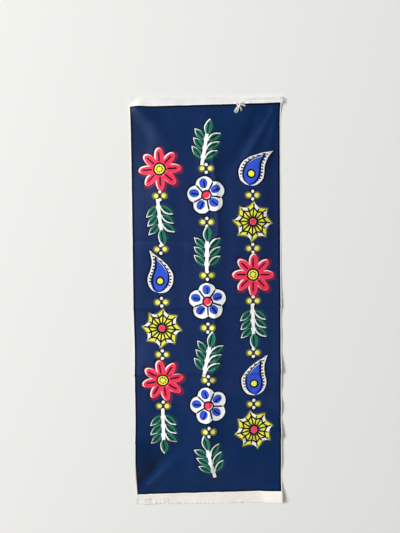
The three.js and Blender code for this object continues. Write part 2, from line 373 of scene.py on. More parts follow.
def bake_corners(across, down, faces, rim_count):
    """A map of the whole sheet without overlaps: front, rim and back in three upright strips."""
    wide = across.ravel() / WIDTH + 0.5
    tall = 1.0 - down.ravel() / FRAY_END.down[1]
    front = np.stack([BAKE.margin + BAKE.wide * wide, BAKE.margin + BAKE.tall * tall], axis=1)
    back = np.stack([1.0 - BAKE.margin - BAKE.wide * wide, front[:, 1]], axis=1)
    corners = np.concatenate([front, back])[faces]
    start = np.arange(rim_count) / rim_count
    low = BAKE.margin + BAKE.tall * start
    high = BAKE.margin + BAKE.tall * (start + BAKE.face / rim_count)
    left = np.full_like(low, BAKE.rim[0])
    right = np.full_like(low, BAKE.rim[1])
    outline = ((left, low), (left, high), (right, high), (right, low))
    corners[-rim_count:] = np.stack([np.stack(corner, axis=1) for corner in outline], axis=1)
    return corners


def make_sheet(materials):
    across, down = sheet_grid()
    half = np.full_like(across, THICKNESS / 2)
    front = off_cloth(across, down, half).reshape(-1, 3)
    back = off_cloth(across, down, -half).reshape(-1, 3)
    rows, columns = across.shape
    index = np.arange(rows * columns).reshape(rows, columns)
    a = index[:-1, :-1].ravel()
    b = index[:-1, 1:].ravel()
    c = index[1:, 1:].ravel()
    d = index[1:, :-1].ravel()
    behind = rows * columns
    front_faces = np.stack([a, d, c, b], axis=1)
    back_faces = np.stack([a, b, c, d], axis=1) + behind
    rim = np.concatenate([index[0, :], index[1:, -1], index[-1, -2::-1], index[-2:0:-1, 0]])
    following = np.roll(rim, -1)
    rim_faces = np.stack([rim, following, following + behind, rim + behind], axis=1)
    faces = np.concatenate([front_faces, back_faces, rim_faces])
    counts = [len(front_faces), len(back_faces), len(rim_faces)]
    sheet = new_object("cloth", np.concatenate([front, back]), faces, materials)
    mesh = sheet.data
    mesh.polygons.foreach_set("material_index", np.repeat([0, 1, 2], counts).astype(np.int32))
    mesh.polygons.foreach_set("use_smooth", np.ones(len(faces), bool))
    mesh.set_sharp_from_angle(angle=math.radians(SHARP_ANGLE))
    flat = np.stack([across.ravel(), down.ravel()], axis=1) * MM
    add_map(mesh, "cloth", np.concatenate([flat, flat])[faces])
    add_map(mesh, "OFBake", bake_corners(across, down, faces, len(rim_faces)))
    return sheet


# Yarns

YARN_SIDES = 6
YARN_RADIUS = 0.3
YARN_DEPTH = 0.8  # from front to back, as a share of the width, since loose yarn lies a little flat
FRAY_DEPTH = 0.2
END_ON = 0.8  # a yarn that points this much to the front takes its sides from another axis


def tube_arrays(paths, radii, depth, first):
    """Closed tubes along many paths of the same number of points: their corners and faces."""
    paths = np.asarray(paths, float)
    count, points, _ = paths.shape
    tangent = np.gradient(paths, axis=1)
    tangent /= np.linalg.norm(tangent, axis=2, keepdims=True)
    guide = np.where(np.abs(tangent[..., 1:2]) > END_ON, [[[1.0, 0, 0]]], [[[0, 1.0, 0]]])
    side = np.cross(tangent, guide)
    side /= np.linalg.norm(side, axis=2, keepdims=True)
    up = np.cross(side, tangent)
    turn = TAU * np.arange(YARN_SIDES) / YARN_SIDES
    ring = np.cos(turn)[:, None] * side[:, :, None, :]
    ring = ring + depth * np.sin(turn)[:, None] * up[:, :, None, :]
    verts = (paths[:, :, None, :] + np.asarray(radii)[:, :, None, None] * ring).reshape(-1, 3)
    grid = first + np.arange(count * points * YARN_SIDES).reshape(count, points, YARN_SIDES)
    here = grid[:, :-1, :]
    there = grid[:, 1:, :]
    walls = np.stack([here, np.roll(here, -1, 2), np.roll(there, -1, 2), there], axis=-1)
    return verts, [*walls.reshape(-1, 4), *grid[:, 0, ::-1], *grid[:, -1, :]]


def make_yarns(name, bundles, material, depth=YARN_DEPTH):
    """One mesh of many yarns. A bundle is an array of paths and one of radii, both in metres."""
    verts = []
    faces = []
    first = 0
    for paths, radii in bundles:
        part_verts, part_faces = tube_arrays(paths, radii, depth, first)
        verts.append(part_verts)
        faces += part_faces
        first += len(part_verts)
    piece = new_object(name, np.concatenate(verts), faces, [material])
    piece.data.polygons.foreach_set("use_smooth", np.ones(len(piece.data.polygons), bool))
    return piece


def past_cloth(across, down):
    """Places level with the cloth, which go on straight past its ends."""
    path = cloth_points(across, np.clip(down, 0.0, CLOTH_END))
    path[..., 2] = -MM * down
    return path


WARP = Sizes(yarns=900, points=8, inset=0.6, stray=0.18)
# A yarn starts at its root up in the weave and lies out in front of the cloth's middle.
# Its tip is a share of its radius, and its reach a share of its lock's length.
WARP_HANG = Sizes(root=2.5, out=0.15, tip=0.95, reach=(0.94, 1.0))
# Loose yarns gather into locks. From one to the next is a share of their width (spread), and they hang
# to a share of the fray's length (reach).
LOCK = Sizes(width=5.2, spread=(0.6, 1.4), reach=(0.9, 1.0))
BROKEN = Sizes(share=0.08, length=0.35)  # so many yarns have broken off short
SWAY = Sizes(gather=0.18, yarn=0.35, lock=0.6, power=1.5, full=6.0)  # less below full length
CURL = Sizes(mean=0.1, stray=0.12)


def warp_fray(random):
    """The lengthwise yarns that hang from the lower end, gathered in locks and swinging a little."""
    across = np.linspace(-WIDTH / 2 + WARP.inset, WIDTH / 2 - WARP.inset, WARP.yarns)
    across = across + random.normal(0, WARP.stray, WARP.yarns)
    weave_end = np.interp(across, WEAVE_END.across, WEAVE_END.down)
    full_reach = np.interp(across, FRAY_END.across, FRAY_END.down) - weave_end
    gaps = random.uniform(*LOCK.spread, round(WIDTH / LOCK.width))
    locks = np.cumsum(gaps) * LOCK.width - WIDTH / 2
    nearest = np.abs(across[:, None] - locks[None, :]).argmin(axis=1)
    lock_reach = random.uniform(*LOCK.reach, len(locks))[nearest]
    reach = full_reach * lock_reach * random.uniform(*WARP_HANG.reach, WARP.yarns)
    is_broken = random.random(WARP.yarns) < BROKEN.share
    reach = np.where(is_broken, BROKEN.length * reach, reach)
    sway = SWAY.gather * (locks[nearest] - across) + random.normal(0, SWAY.yarn, WARP.yarns)
    lock_sway = random.normal(0, SWAY.lock, len(locks))[nearest]
    swing = (sway + lock_sway) * np.minimum(1.0, reach / SWAY.full)
    curl = random.normal(CURL.mean, CURL.stray, WARP.yarns) * reach / full_reach.max()
    share = np.linspace(0, 1, WARP.points)
    down = weave_end[:, None] - WARP_HANG.root + (reach[:, None] + WARP_HANG.root) * share
    path = past_cloth(np.repeat(across[:, None], WARP.points, 1), down)
    path[..., 0] += MM * swing[:, None] * share ** SWAY.power
    path[..., 1] -= MM * (WARP_HANG.out + curl[:, None] * share**2)
    radii = MM * YARN_RADIUS * np.linspace(1.0, WARP_HANG.tip, WARP.points)
    return path, np.repeat(radii[None, :], WARP.yarns, 0)


LOOSE_WEFTS = table(
    "start end down sag",
    (-178, -104, 990.5, 2.2),
    (-172, -120, 995.5, 2.6),
    (-150, -70, 995.0, 2.4),
    (-98, -20, 1002.0, 1.4),
    (-40, 70, 1002.6, 0.8),
    (30, 150, 1003.0, 0.6),
)
WEFT_POINTS = 48
WEFT_WOBBLE = Sizes(step=0.22, share=0.6)
WEFT_CRIMP = Sizes(out=0.5, size=0.25, step=1.4)  # it still bends in and out as it did in the weave


def weft_fray(row, random):
    """One crosswise yarn that has worked loose along the lower end."""
    share = np.linspace(0, 1, WEFT_POINTS)
    across = row.start + (row.end - row.start) * share
    wobble = np.cumsum(random.normal(0, WEFT_WOBBLE.step, WEFT_POINTS))
    wobble -= np.linspace(wobble[0], wobble[-1], WEFT_POINTS)
    down = row.down + row.sag * np.sin(math.pi * share) + WEFT_WOBBLE.share * wobble
    path = past_cloth(across, down)
    path[:, 1] -= MM * (WEFT_CRIMP.out + WEFT_CRIMP.size * np.sin(across / WEFT_CRIMP.step))
    return path[None], np.full((1, WEFT_POINTS), MM * YARN_RADIUS)


# A stub starts at its root down in the weave, and its tip is a share of its radius.
STUB = Sizes(yarns=300, points=4, inset=0.5, stray=0.2, root=1.2, lean=0.5, tip=0.6)
STUB_HEIGHT = Sizes(shape=2.0, scale=0.5, least=0.2, most=3.0)  # most stubs are short


def top_stubs(random):
    """The short lengthwise yarn ends that stand up from the cut top edge."""
    across = np.linspace(-WIDTH / 2 + STUB.inset, WIDTH / 2 - STUB.inset, STUB.yarns)
    across = across + random.normal(0, STUB.stray, STUB.yarns)
    height = random.gamma(STUB_HEIGHT.shape, STUB_HEIGHT.scale, STUB.yarns)
    height = height.clip(STUB_HEIGHT.least, STUB_HEIGHT.most)
    share = np.linspace(0, 1, STUB.points)
    down = STUB.root - (height[:, None] + STUB.root) * share
    path = past_cloth(np.repeat(across[:, None], STUB.points, 1), down)
    path[..., 0] += MM * random.normal(0, STUB.lean, STUB.yarns)[:, None] * share**2
    path[..., 1] -= MM * np.abs(random.normal(0, STUB.lean, STUB.yarns))[:, None] * share**2
    radii = MM * YARN_RADIUS * np.linspace(1.0, STUB.tip, STUB.points)
    return path, np.repeat(radii[None, :], STUB.yarns, 0)


CORNER_YARNS = table(
    "start bow end out",
    ((181, 4), (185, 4), (189, 10), 0.5),
    ((181, 7), (185, 8), (187, 15), 0.5),
    ((180, 2), (185, 1), (190, 3), 0.5),
)
CORNER_CLUMP = Sizes(points=12, strands=7, stray=1.2, radius=YARN_RADIUS)
TUFT_YARNS = table(
    "start bow end out",
    ((81, 21), (90, 18), (97, 23), 2.0),
    ((81, 21), (86, 13), (93, 15), 1.8),
    ((81, 23), (86, 26), (88, 32), 2.2),
    ((80, 23), (79, 30), (77, 37), 2.2),
    ((79, 23), (74, 28), (72, 36), 2.0),
    ((79, 21), (75, 16), (73, 14), 1.8),
)
TUFT_CLUMP = Sizes(points=16, strands=9, stray=1.5, radius=0.4)
BOW_ROOT = 0.3  # the share by which strands stray at their start
BOW_CLEAR = 0.5  # the least that a strand lies in front of the cloth's middle
BOW_HUMP = Sizes(starts=0.15, runs=0.7)  # the part of a half wave that it rises and falls in
BOW_HEIGHT = (0.6, 1.1)  # shares of the row's own height


def bowed_yarns(rows, clump, random):
    """Yarns in small clumps along bowed routes in front of the cloth."""
    share = np.linspace(0, 1, clump.points)
    near_start = (1 - share) ** 2
    near_bow = 2 * share * (1 - share)
    near_end = share**2
    hump = np.sin(math.pi * (BOW_HUMP.starts + BOW_HUMP.runs * share))
    paths = []
    for row in rows:
        for _ in range(clump.strands):
            bow = np.add(row.bow, random.normal(0, clump.stray, 2))
            end = np.add(row.end, random.normal(0, clump.stray, 2))
            start = np.add(row.start, random.normal(0, BOW_ROOT * clump.stray, 2))
            route = near_start[:, None] * start + near_bow[:, None] * bow + near_end[:, None] * end
            across, down = route.T
            path = past_cloth(np.clip(across, -WIDTH / 2, WIDTH / 2), down)
            path[:, 0] = MM * across
            path[:, 1] -= MM * (BOW_CLEAR + row.out * hump * random.uniform(*BOW_HEIGHT))
            paths.append(path)
    return np.array(paths), np.full((len(paths), clump.points), MM * clump.radius)


KNOT_LOOPS = 9
KNOT_POINTS = 60
KNOT = Sizes(across=80, down=22, half_wide=3.2, half_high=2.1, least=0.7, stray=0.4)
KNOT_WIND = Sizes(turns=2, slip=1.2)  # a loop goes round twice, and its two ways slip out of step
KNOT_OUT = Sizes(clear=1.1, weave=0.6, times=3)  # in front of the cloth, and over and under


def tuft_knot(random):
    """The tangle that the loose yarns come out of: a few loops wound over each other."""
    share = np.linspace(0, 1, KNOT_POINTS)
    loops = []
    for _ in range(KNOT_LOOPS):
        around = random.uniform(0, TAU) + KNOT_WIND.turns * TAU * share
        aside = KNOT.half_wide * np.cos(around) * random.uniform(KNOT.least, 1.0)
        across = KNOT.across + aside + random.normal(0, KNOT.stray)
        drop = KNOT.half_high * np.sin(around * KNOT_WIND.slip) * random.uniform(KNOT.least, 1.0)
        down = KNOT.down + drop + random.normal(0, KNOT.stray)
        path = cloth_points(across, down)
        path[:, 1] -= MM * (KNOT_OUT.clear + KNOT_OUT.weave * np.sin(KNOT_OUT.times * around))
        loops.append(path)
    return np.array(loops), np.full((KNOT_LOOPS, KNOT_POINTS), MM * TUFT_CLUMP.radius)


# Shader helpers

WHOLE_TOLERANCE = 0.4
SHEEN_ROUGHNESS = 0.5


def srgb(red, green, blue):
    """A colour given as it looks on a screen, 0 to 255, in a shader's own terms."""
    shares = (value / 255 for value in (red, green, blue))
    linear = [v / 12.92 if v <= 0.04045 else ((v + 0.055) / 1.055) ** 2.4 for v in shares]
    return (*linear, 1.0)


class Field:
    """A number that varies over a surface. Arithmetic on it adds Math nodes to the material."""

    def __init__(self, tree, socket):
        self.tree = tree
        self.socket = socket

    def math(self, operation, *others):
        return calculate(self.tree, operation, self, *others)

    def __add__(self, other):
        return self.math("ADD", other)

    def __sub__(self, other):
        return self.math("SUBTRACT", other)

    def __rsub__(self, other):
        return calculate(self.tree, "SUBTRACT", other, self)

    def __mul__(self, other):
        return self.math("MULTIPLY", other)

    def __truediv__(self, other):
        return self.math("DIVIDE", other)

    def __abs__(self):
        return self.math("ABSOLUTE")

    __radd__ = __add__
    __rmul__ = __mul__


def feed(tree, value, socket):
    """Sets a socket to a plain value, or links it to a field or another socket."""
    if isinstance(value, Field):
        value = value.socket
    if isinstance(value, bpy.types.NodeSocket):
        tree.links.new(value, socket)
    else:
        socket.default_value = value


def new_node(tree, kind, **inputs):
    """A shader node with some of its inputs fed. An underscore in a name stands for a blank."""
    node = tree.nodes.new("ShaderNode" + kind)
    for name, value in inputs.items():
        feed(tree, value, node.inputs[name.replace("_", " ")])
    return node


def calculate(tree, operation, *values):
    node = new_node(tree, "Math")
    node.operation = operation
    for value, socket in zip(values, node.inputs):
        feed(tree, value, socket)
    return Field(tree, node.outputs[0])


def largest(first, *others):
    for other in others:
        first = first.math("MAXIMUM", other)
    return first


def smallest(first, *others):
    for other in others:
        first = first.math("MINIMUM", other)
    return first


def radius_of(x, y):
    return (x * x + y * y).math("SQRT")


def is_near(value, whole):
    """1 where a field of whole numbers has this one."""
    return value.math("COMPARE", float(whole), WHOLE_TOLERANCE)


def ramp(value, low, high):
    """0 at the low value and below, 1 at the high one and above, and smooth between."""
    node = new_node(value.tree, "MapRange", Value=value, From_Min=low, From_Max=high)
    node.interpolation_type = "SMOOTHSTEP"
    return Field(value.tree, node.outputs["Result"])


def pair(x, y):
    """Two fields as one vector socket."""
    return new_node(x.tree, "CombineXYZ", X=x, Y=y).outputs["Vector"]


def noise_field(x, y, size, detail=2.0):
    """Smooth noise around 0.5 with lumps of about the given size."""
    node = new_node(x.tree, "TexNoise", Vector=pair(x, y), Scale=1.0 / size, Detail=detail)
    node.noise_dimensions = "2D"
    return Field(x.tree, node.outputs[0])


def layer_over(tree, below, above, mask):
    """One colour laid over another where the mask is 1. A colour is four numbers or a socket."""
    node = new_node(tree, "Mix")
    node.data_type = "RGBA"
    feed(tree, mask, node.inputs["Factor"])
    colour_inputs = [socket for socket in node.inputs if socket.type == "RGBA"]
    for value, socket in zip((below, above), colour_inputs):
        feed(tree, value, socket)
    return next(socket for socket in node.outputs if socket.type == "RGBA")


def scaled(tree, colour, factor):
    """A colour made lighter or darker by a field."""
    node = new_node(tree, "VectorMath")
    node.operation = "SCALE"
    feed(tree, colour, node.inputs[0])
    feed(tree, factor, node.inputs["Scale"])
    return node.outputs["Vector"]


def new_material(name, roughness, sheen, specular):
    material = bpy.data.materials.new(name)
    material.use_nodes = True
    shader = material.node_tree.nodes["Principled BSDF"]
    shader.inputs["Roughness"].default_value = roughness
    shader.inputs["Sheen Weight"].default_value = sheen
    shader.inputs["Sheen Roughness"].default_value = SHEEN_ROUGHNESS
    shader.inputs["Specular IOR Level"].default_value = specular
    return material, material.node_tree, shader


def add_bump(tree, shader, height, depth, strength):
    """Relief of so many millimetres from a field that runs from about 0 to 1."""
    node = new_node(tree, "Bump", Distance=depth * MM, Strength=strength, Height=height)
    feed(tree, node.outputs["Normal"], shader.inputs["Normal"])


# The print: a half-drop repeat of plain flower, leaf, paisley and star motifs

INK_EDGE = 0.45  # softness of a printed edge
WAVER = 1.3  # how far a printed line strays from true
WAVER_SIZE = 17.0
FIELD_WAVER = 0.4  # the edges of the printed field stray by this share of it
ELSEWHERE = 500.0  # far enough away for noise that has nothing to do with the first
POOL = (2.4, 4.8)  # the dye is darkest up to the first distance from a motif, and plain past the second
POOL_DEPTH = 0.85
FIELD_POOL = (4.0, 5.6)  # the same along the edges of the printed field, where it is darker
RESIST = (1.4, 3.2)  # the bare cotton is as much cleaner along the printed field
RIM = (1.5, 4.5)  # the colours are cut larger than their white ground, and show dimly around it
OVERPRINT = 0.22  # how much an ink shows where it lies on the navy
MISFIT = (2.2, -1.7)  # how far the colours are printed off their white ground, across and up
MOTIF_SCALE = 1.1  # the motifs and their cells are drawn at this scale
COLUMN = 102.0
PITCH = 117.0
FIRST_CELL = 40.0  # where the middle column's first cell starts
MIDDLE_CELLS = 7
CELL_TURN = 0.5  # the most that a motif is turned, from end to end, in radians
KINDS = 4
DAISY, SPRIG, PAISLEY, STAR = range(KINDS)  # the motifs of an outer column, from its top
RIGHT_STARTS = 2.0  # the right column is this many motifs ahead of the left one
FINE_LINE = 1.5  # half widths of the drawn lines
THIN_LINE = 1.6
LINE = 1.8
BOLD_LINE = 1.9

FIELD_TOP = 18.0
FIELD_TOP_SLANT = 4.2  # the print lies askew on the cloth: its ends rise towards the right
FIELD_END = 977.0
FIELD_END_SLANT = 0.9
SELVEDGE = 1.7

NAVY_MIDDLE = srgb(21, 44, 90)
NAVY_ENDS = srgb(3, 39, 83)  # the navy is greener and a little darker towards both ends of the cloth
NAVY_TURNS = ((50, 260), (640, 870))  # and turns over these stretches
NAVY_DRIFT = Sizes(size=60.0, depth=1.3, over=(-0.2, 1.1))  # unevenly, in patches of this size
POOLED_NAVY = srgb(1, 5, 26)
COTTON = srgb(238, 237, 234)
COTTON_END = srgb(246, 241, 231)  # the bare lower end is lighter and warmer
PRINT_WHITE = srgb(254, 254, 251)
INKS = {
    "green": srgb(30, 116, 92),
    "blue": srgb(52, 88, 212),
    "coral": srgb(252, 58, 92),
    "yellow": srgb(250, 246, 78),
}
DRAWN_LINE = srgb(6, 9, 34)


class Cell:
    """Where a point lies in its cell of the repeat, and which motif the cell holds."""

    def __init__(self, across, down):
        tree = across.tree
        self.column = (across / COLUMN + 0.5).math("FLOOR")
        outer = smallest(abs(self.column), 1.0)
        fallen = (down - FIRST_CELL) / PITCH - outer * 0.5
        self.row = fallen.math("FLOOR")
        x = across - self.column * COLUMN
        y = (self.row - fallen + 0.5) * PITCH
        self.upright = (x, y)
        chance = new_node(tree, "TexWhiteNoise", Vector=pair(self.column, self.row))
        chance.noise_dimensions = "2D"
        turn = (Field(tree, chance.outputs["Value"]) - 0.5) * CELL_TURN
        cosine = turn.math("COSINE")
        sine = turn.math("SINE")
        self.x = x * cosine - y * sine
        self.y = x * sine + y * cosine
        in_columns = abs(self.column).math("LESS_THAN", 1.5)
        end = MIDDLE_CELLS - 0.5 - outer
        on_cloth = in_columns * self.row.math("GREATER_THAN", -0.5) * self.row.math("LESS_THAN", end)
        gap = (fallen + 0.5).math("FLOOR")
        self.between = in_columns * gap.math("GREATER_THAN", 0.5) * gap.math("LESS_THAN", end)
        self.outer = on_cloth * outer
        self.middle = on_cloth - self.outer
        offset = self.row + self.column.math("GREATER_THAN", 0.5) * RIGHT_STARTS
        self.kind = offset.math("FLOORED_MODULO", float(KINDS))
        self.even = self.row.math("FLOORED_MODULO", 2.0).math("LESS_THAN", 0.5)


class Plates:
    """How much of each ink lies on the cloth, gathered motif by motif."""

    def __init__(self):
        self.masks = {}

    def add(self, ink, mask):
        self.masks[ink] = largest(self.masks[ink], mask) if ink in self.masks else mask

    def press(self, ink, distance, where):
        """Prints one shape, given by the distance inside its edge, in the cells where it belongs."""
        self.add(ink, ramp(distance, -INK_EDGE, INK_EDGE) * where)
        if ink == "white":
            self.add("pool", ramp(distance, -POOL[1], -POOL[0]) * where)
        elif ink != "dark":
            self.add(ink + " rim", ramp(distance, -RIM[1], -RIM[0]) * where)


def sector(x, y, count):
    """How far out and how far aside a point is from the middle of the nearest of equal sectors."""
    radius = radius_of(x, y)
    turn = y.math("ARCTAN2", x) * (count / TAU)
    bend = ((turn + 0.5).math("FRACT") - 0.5) * (TAU / count)
    return radius * bend.math("COSINE"), radius * bend.math("SINE"), radius


def misfit(x, y):
    return x - MISFIT[0], y - MISFIT[1]


def band(value, at, half_wide):
    """How deep a point is inside a line drawn where a field has one value."""
    return half_wide - abs(value - at)


def stroke(aside, along, half_wide, start, end):
    """How deep a point is inside a straight line from a start to an end."""
    return smallest(half_wide - abs(aside), along - start, end - along)


def oval(out, aside, middle, half_long, half_wide):
    return (1.0 - radius_of((out - middle) / half_long, aside / half_wide)) * half_wide


def press_daisy(plates, cell):
    """An eight-petalled flower in coral with a yellow heart."""
    where = cell.outer * is_near(cell.kind, DAISY)
    petals = 8
    petal_middle = 28.0
    heart = 11.5
    seeds_at = 6.5
    out, aside, radius = sector(cell.x, cell.y, petals)
    ground = oval(out, aside, petal_middle, half_long=18.5, half_wide=10.0)
    plates.press("white", largest(ground, heart - radius), where)
    vein = stroke(aside, out, LINE, start=17.0, end=37.0)
    ring = band(radius, at=12.5, half_wide=BOLD_LINE)
    seeds = LINE - radius_of(out - seeds_at, aside)
    plates.press("dark", largest(vein, ring, seeds), where)
    plates.press("yellow", heart - radius, where)
    out, aside, radius = sector(*misfit(cell.x, cell.y), petals)
    colour = oval(out, aside, petal_middle, half_long=18.0, half_wide=9.6)
    plates.press("coral", smallest(colour, radius - heart), where)


def press_blossom(plates, cell):
    """A five-petalled white flower with a blue flush and a coral heart."""
    where = cell.middle - cell.middle * cell.even
    petals = 5
    petal = Sizes(middle=24.0, size=17.5, squeeze=0.94)
    ground_heart = 12.0
    heart = 9.0
    out, aside, radius = sector(cell.y, cell.x, petals)
    ground = petal.size - radius_of(out - petal.middle, aside * petal.squeeze)
    plates.press("white", largest(ground, ground_heart - radius), where)
    parting = out * math.sin(math.pi / petals) - abs(aside) * math.cos(math.pi / petals)
    lines = stroke(parting, radius, BOLD_LINE, start=heart, end=31.0)
    ring = band(radius, at=10.0, half_wide=BOLD_LINE)
    rays = stroke(aside, out, THIN_LINE, start=16.0, end=33.0)
    plates.press("dark", largest(lines, ring, rays), where)
    out, aside, radius = sector(*misfit(cell.y, cell.x), petals)
    plates.press("blue", oval(out, aside, middle=25.0, half_long=11.0, half_wide=9.0), where)
    plates.press("coral", heart - radius, where)


def press_star(plates, cell):
    """An eight-pointed star in yellow and white facets."""
    where = cell.outer * is_near(cell.kind, STAR)
    points = 8.0
    half = 30.0
    facet_depth = 8.0
    heart = Sizes(ring=9.0, ground=8.0, colour=7.0)
    x = cell.x
    y = cell.y
    square = half - largest(abs(x), abs(y))
    diagonal = half - largest(abs(x + y), abs(x - y)) * math.sqrt(0.5)
    star = largest(square, diagonal)
    plates.press("white", star, where)
    radius = radius_of(x, y)
    facet = (y.math("ARCTAN2", x) * points).math("SINE") * radius * (1 / points)
    spokes = smallest(stroke(facet, radius, THIN_LINE, start=heart.ring, end=40.0), star - 1.0)
    inner = smallest(band(star, at=facet_depth, half_wide=LINE), radius - heart.ring)
    ring = band(radius, at=heart.ring, half_wide=BOLD_LINE)
    plates.press("dark", largest(spokes, inner, ring), where)
    facets = smallest(star, largest(facet, star - facet_depth), radius - heart.ground)
    plates.press("yellow", facets, where)
    plates.press("coral", heart.colour - radius, where)


DROP = Sizes(foot=-38.0, tip=50.0, bends_from=2.0, bend=0.016, fullness=73.0, slope=0.8)


def drop_depth(x, y):
    """How deep inside a paisley drop a point is. Its tip bends over to one side."""
    foot = DROP.foot
    tip = DROP.tip
    bent = x - largest(y - DROP.bends_from, 0.0).math("POWER", 2.0) * DROP.bend
    share = smallest(largest((y - foot) * (1 / (tip - foot)), 0.0), 1.0)
    half = share.math("SQRT") * (1.0 - share) * DROP.fullness
    past_end = largest(y - tip, foot - y, 0.0)
    return (half - abs(bent)) * DROP.slope - past_end


def press_paisley(plates, cell):
    """A blue drop with a white rim, dark contour lines and a yellow eye."""
    where = cell.outer * is_near(cell.kind, PAISLEY)
    beads = Sizes(pitch=7.0, depth=4.2, end=-24.0)
    colour_depth = 7.4
    eye_at = -12.0
    eye_size = 8.0
    x = cell.x * cell.column
    y = cell.y
    depth = drop_depth(x, y)
    plates.press("white", depth, where)
    along = ((y / beads.pitch).math("FRACT") - 0.5) * beads.pitch
    bead = smallest(BOLD_LINE - radius_of(depth - beads.depth, along), y - beads.end)
    contour = band(depth, at=8.0, half_wide=LINE)
    from_eye = radius_of(x, y - eye_at)
    ring = band(from_eye, at=8.2, half_wide=LINE)
    plates.press("dark", largest(bead, contour, ring), where)
    plates.press("yellow", eye_size - from_eye, where)
    inner = drop_depth(*misfit(x, y))
    plates.press("blue", smallest(inner - colour_depth, from_eye - eye_size), where)


LEAF_SLANT = math.radians(40)
LEAF_STEP = 19.5  # from one pair of leaves to the next
LEAF_FOOT = 3.0  # from the stem to a leaf
LOWEST_PAIR = -2.0  # the pairs are counted up to 0
CROWN_FOOT = 14.0
STEM = Sizes(half_wide=3.6, clear=5.2, clear_to=16.0)  # the colour stays clear of the stem


def lens(along, aside, length, half_wide):
    """How deep inside a pointed leaf a point is, from the leaf's foot."""
    share = smallest(largest(along * (1 / length), 0.0), 1.0)
    past_end = largest(along - length, along * -1.0, 0.0)
    return share * (1.0 - share) * (4.0 * half_wide) - abs(aside) - past_end


def leaf_pairs(x, y):
    """Coordinates along and beside the nearest of the sprig's slanting leaves."""
    beside_stem = abs(x)
    foot = y - beside_stem * math.tan(LEAF_SLANT)
    number = smallest(largest((foot * (1 / LEAF_STEP) + 0.5).math("FLOOR"), LOWEST_PAIR), 0.0)
    rest = foot - number * LEAF_STEP
    along = beside_stem * (1 / math.cos(LEAF_SLANT)) + rest * math.sin(LEAF_SLANT)
    return along, rest * math.cos(LEAF_SLANT)


def sprig_leaves(x, y):
    """How deep a point is in the paired leaves and in the crown, and its place in the nearest pair."""
    along, aside = leaf_pairs(x, y)
    pairs = lens(along - LEAF_FOOT, aside, length=35.0, half_wide=6.9)
    crown = lens(y - CROWN_FOOT, x, length=38.0, half_wide=8.6)
    return pairs, crown, along, aside


def press_sprig(plates, cell):
    """A sprig of paired green leaves on a white stem, upside down in the outer columns."""
    where = largest(cell.outer * is_near(cell.kind, SPRIG), cell.middle * cell.even)
    x = cell.x
    y = cell.y * (1.0 - cell.outer * 2.0)
    pairs, crown, along, aside = sprig_leaves(x, y)
    stem = stroke(x, y, STEM.half_wide, start=-52.0, end=18.0)
    plates.press("white", largest(pairs, crown, stem), where)
    ribs = smallest(stroke(aside, along, FINE_LINE, start=9.0, end=30.0), pairs - 1.0)
    crown_rib = stroke(x, y, FINE_LINE, start=20.0, end=44.0)
    plates.press("dark", largest(ribs, crown_rib), where)
    pairs, crown, _, _ = sprig_leaves(*misfit(x, y))
    off_stem = largest(abs(x) - STEM.clear, y - STEM.clear_to)
    plates.press("green", smallest(largest(pairs, crown), off_stem), where)


DOTS = Sizes(out=8.5, yellow_out=9.7, size=4.6, small=3.4)


def press_dots(plates, cell):
    """Four small dots between the motifs of a column."""
    x, y = cell.upright
    where = cell.between
    from_gap = PITCH / 2 - abs(y)
    plates.press("white", DOTS.size - radius_of(abs(x) - DOTS.out, from_gap), where)
    plates.press("yellow", DOTS.size - radius_of(abs(x) - DOTS.yellow_out, from_gap), where)
    plates.press("white", DOTS.small - radius_of(x, from_gap - DOTS.out), where)


MOTIFS = (press_daisy, press_blossom, press_star, press_paisley, press_sprig, press_dots)


def flat_place(tree):
    """Across and down on the flat cloth, in millimetres, from the cloth's own map."""
    place = new_node(tree, "UVMap")
    place.uv_map = "cloth"
    split = new_node(tree, "SeparateXYZ", Vector=place.outputs["UV"])
    return Field(tree, split.outputs["X"]) * (1 / MM), Field(tree, split.outputs["Y"]) * (1 / MM)


def dyed_field(across, down):
    """How far inside the printed field a place is: below 0 on the bare ends and the woven edges."""
    slope = across * (2 / WIDTH)
    below_top = down - FIELD_TOP + slope * FIELD_TOP_SLANT
    above_end = FIELD_END - down - slope * FIELD_END_SLANT
    inside_edge = WIDTH / 2 - SELVEDGE - abs(across)
    return smallest(below_top, above_end, inside_edge)


def dyed_navy(tree, across, down):
    """The ground colour, greener and a little darker towards both ends, and unevenly so."""
    middle = ramp(down, *NAVY_TURNS[0]) * (1.0 - ramp(down, *NAVY_TURNS[1]))
    drift = (noise_field(across, down, NAVY_DRIFT.size) - 0.5) * NAVY_DRIFT.depth
    return layer_over(tree, NAVY_ENDS, NAVY_MIDDLE, ramp(middle + drift, *NAVY_DRIFT.over))


